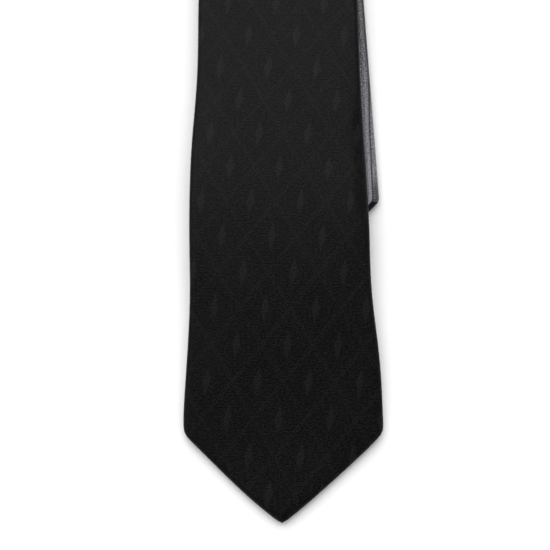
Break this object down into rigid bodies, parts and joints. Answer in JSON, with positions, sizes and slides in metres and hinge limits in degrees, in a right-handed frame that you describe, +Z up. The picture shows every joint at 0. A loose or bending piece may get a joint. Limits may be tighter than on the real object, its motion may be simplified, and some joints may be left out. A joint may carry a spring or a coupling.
{
  "type": "necktie",
  "caption": "Black jacquard necktie folded at the neck and laid flat, with a pointed blade over a narrow tail, lined points, a keeper loop and bias seams.",
  "frame": {"origin": "on the surface the tie lies on, under the middle of its outline", "axes": "+Z up out of the blade's face, +Y along the tie from the blade's tip towards the fold, +X towards the side where the tail shows"},
  "size_m": [0.0818, 0.795, 0.0094],
  "materials": {
    "jacquard_silk": "dull tone-on-tone jacquard weave",
    "tail_silk": "lustrous satin weave",
    "satin_lining": "smooth satin",
    "wool_interlining": "brushed wool",
    "ribbon": "woven ribbon",
    "sewing_thread": "twisted silk thread"
  },
  "bodies": {
    "neck": {"neck_panel": "jacquard_silk"},
    "blade_leg": {"blade_shell": "jacquard_silk", "blade_interlining": "wool_interlining", "blade_tipping": "satin_lining", "blade_slip_stitch": "sewing_thread", "blade_bar_tack": "sewing_thread", "slack_thread_loop": "sewing_thread", "keeper_loop": "jacquard_silk", "keeper_tack_left": "sewing_thread", "keeper_tack_right": "sewing_thread", "blank_label": "ribbon", "label_stitch_left": "sewing_thread", "label_stitch_right": "sewing_thread"},
    "tail_leg": {"tail_shell": "tail_silk", "tail_interlining": "wool_interlining", "tail_tipping": "satin_lining", "tail_slip_stitch": "sewing_thread", "tail_bar_tack": "sewing_thread", "interlining_splice_stitch": "sewing_thread", "care_label": "ribbon", "care_label_stitch": "sewing_thread"}
  },
  "joints": [
    {"name": "neck_fold", "type": "hinge", "parent": "neck", "child": "blade_leg", "pos_m": [-0.0009, 0.39728, 0.0047], "axis": [-1, 0, 0], "range_deg": [0, 179.9], "deforming": ["neck_panel", "blade_interlining", "blade_slip_stitch"]},
    {"name": "tail_fan", "type": "hinge", "parent": "neck", "child": "tail_leg", "pos_m": [-0.0009, 0.2428, 0], "axis": [0, 0, 1], "range_deg": [-6, 6]}
  ]
}
